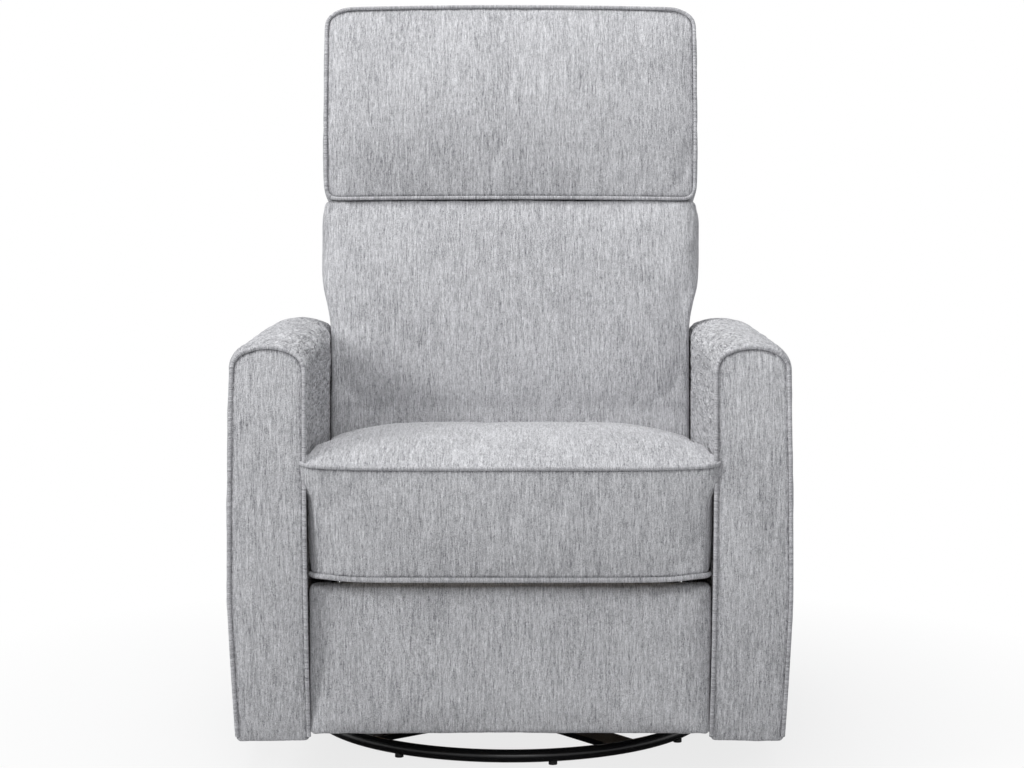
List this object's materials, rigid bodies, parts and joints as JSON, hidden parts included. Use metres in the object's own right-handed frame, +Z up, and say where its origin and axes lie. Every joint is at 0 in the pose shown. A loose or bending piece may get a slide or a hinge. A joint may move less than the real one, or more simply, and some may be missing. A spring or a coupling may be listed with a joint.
{
  "type": "swivel glider recliner chair",
  "caption": "Upholstered swivel glider recliner in light grey chenille: arched padded arms with welted fronts, two-part back, boxed seat, footrest, on a round black tube base.",
  "frame": {"origin": "On the floor, on the swivel axis, which is also the middle of the chair's width and depth", "axes": "+Z up; the chair faces -Y; +X is its right side as seen from the front"},
  "size_m": [0.74, 0.86, 1.0338],
  "materials": {
    "upholstery": "matte",
    "base_gloss": "gloss",
    "feet_plastic": "satin",
    "timber": "matte",
    "bearing_plastic": "satin",
    "plated_steel": "satin",
    "black_steel": "satin"
  },
  "bodies": {
    "base": {"base_ring": "base_gloss", "base_feet": "feet_plastic", "base_cross_bar_long": "base_gloss", "base_cross_bar_short": "base_gloss", "lower_swivel_plate": "black_steel", "swivel_bearing": "bearing_plastic", "king_bolt": "plated_steel", "king_nut": "plated_steel"},
    "swivel_frame": {"upper_swivel_plate": "black_steel", "glider_cross_members": "timber", "glider_side_rails": "timber", "glider_uprights": "black_steel", "glider_top_pins": "plated_steel"},
    "front_glide_links": {"glide_links_front": "black_steel"},
    "rear_glide_links": {"glide_links_rear": "black_steel"},
    "carriage": {"glide_rail_left": "black_steel", "glide_rail_right": "black_steel", "glide_lower_pins": "plated_steel", "carriage_cross_tubes": "black_steel", "recline_uprights": "black_steel", "recline_top_pins": "plated_steel", "rear_rail": "timber", "rear_lower_panel": "upholstery", "arm_left_inner_panel": "timber", "arm_left_timbers": "timber", "arm_left_cover": "upholstery", "arm_left_front_panel": "upholstery", "arm_right_inner_panel": "timber", "arm_right_timbers": "timber", "arm_right_cover": "upholstery", "arm_right_front_panel": "upholstery"},
    "front_seat_links": {"seat_links_front": "black_steel"},
    "rear_seat_links": {"seat_links_rear": "black_steel"},
    "seat": {"seat_side_plate_left": "black_steel", "seat_side_plate_right": "black_steel", "seat_plate_pins": "plated_steel", "seat_side_rails": "timber", "seat_cross_rails": "timber", "seat_springs": "plated_steel", "seat_cushion": "upholstery"},
    "back": {"back_brackets": "black_steel", "back_posts": "timber", "back_rails": "timber", "back_springs": "plated_steel", "lumbar_cushion": "upholstery", "head_cushion": "upholstery", "outside_back_panel": "upholstery", "back_borders": "upholstery"},
    "footrest_drive": {"footrest_torque_tube": "black_steel", "footrest_drive_links": "black_steel", "drive_link_rivets": "plated_steel"},
    "footrest_rear_links": {"footrest_rear_links": "black_steel"},
    "footrest_cranks": {"footrest_bell_cranks": "black_steel", "bell_crank_rivets": "plated_steel"},
    "footrest_support_links": {"footrest_support_links": "black_steel"},
    "footrest": {"footrest_brackets": "black_steel", "bracket_rivets": "plated_steel", "footrest_board": "timber", "footrest_pad": "upholstery"}
  },
  "joints": [
    {"name": "swivel", "type": "hinge", "parent": "base", "child": "swivel_frame", "pos_m": [0, 0, 0.02], "axis": [0, 0, 1], "continuous": true},
    {"name": "glide", "type": "hinge", "parent": "swivel_frame", "child": "front_glide_links", "pos_m": [0, -0.15, 0.19], "axis": [-1, 0, 0], "range_deg": [-24, 24]},
    {"name": "carriage_level", "type": "hinge", "parent": "front_glide_links", "child": "carriage", "pos_m": [0, -0.15, 0.07], "axis": [-1, 0, 0], "range_deg": [-25, 25]},
    {"name": "rear_glide_swing", "type": "hinge", "parent": "swivel_frame", "child": "rear_glide_links", "pos_m": [0, 0.15, 0.19], "axis": [-1, 0, 0], "range_deg": [-25, 25]},
    {"name": "recline", "type": "hinge", "parent": "carriage", "child": "front_seat_links", "pos_m": [0, -0.14, 0.28], "axis": [-1, 0, 0], "range_deg": [0, 37]},
    {"name": "seat_level", "type": "hinge", "parent": "front_seat_links", "child": "seat", "pos_m": [0, -0.14, 0.205], "axis": [-1, 0, 0], "range_deg": [-38, 1]},
    {"name": "rear_seat_swing", "type": "hinge", "parent": "carriage", "child": "rear_seat_links", "pos_m": [0, 0.15, 0.28], "axis": [-1, 0, 0], "range_deg": [-1, 38]},
    {"name": "back_tilt", "type": "hinge", "parent": "seat", "child": "back", "pos_m": [0, 0.15, 0.3], "axis": [-1, 0, 0], "range_deg": [-1, 33.01]},
    {"name": "footrest_swing", "type": "hinge", "parent": "seat", "child": "footrest_drive", "pos_m": [0, -0.35, 0.282], "axis": [-1, 0, 0], "range_deg": [0, 100]},
    {"name": "rear_link_swing", "type": "hinge", "parent": "seat", "child": "footrest_rear_links", "pos_m": [0, -0.304, 0.282], "axis": [-1, 0, 0], "range_deg": [-1, 101]},
    {"name": "crank_turn", "type": "hinge", "parent": "footrest_drive", "child": "footrest_cranks", "pos_m": [0, -0.236, 0.168], "axis": [-1, 0, 0], "range_deg": [-101, 1]},
    {"name": "support_link_turn", "type": "hinge", "parent": "footrest_drive", "child": "footrest_support_links", "pos_m": [0, -0.236, 0.128], "axis": [-1, 0, 0], "range_deg": [-101, 1]},
    {"name": "footrest_turn", "type": "hinge", "parent": "footrest_cranks", "child": "footrest", "pos_m": [0, -0.352, 0.247], "axis": [-1, 0, 0], "range_deg": [-1, 101]}
  ],
  "couplings": [
    {"joint": "carriage_level", "follows": "glide", "ratio": -1},
    {"joint": "rear_glide_swing", "follows": "glide", "ratio": 1},
    {"joint": "seat_level", "follows": "recline", "ratio": -1},
    {"joint": "rear_seat_swing", "follows": "recline", "ratio": 1},
    {"joint": "back_tilt", "follows": "recline", "ratio": 0.865},
    {"joint": "rear_link_swing", "follows": "footrest_swing", "ratio": 1},
    {"joint": "crank_turn", "follows": "footrest_swing", "ratio": -1},
    {"joint": "support_link_turn", "follows": "footrest_swing", "ratio": -1},
    {"joint": "footrest_turn", "follows": "footrest_swing", "ratio": 1}
  ]
}
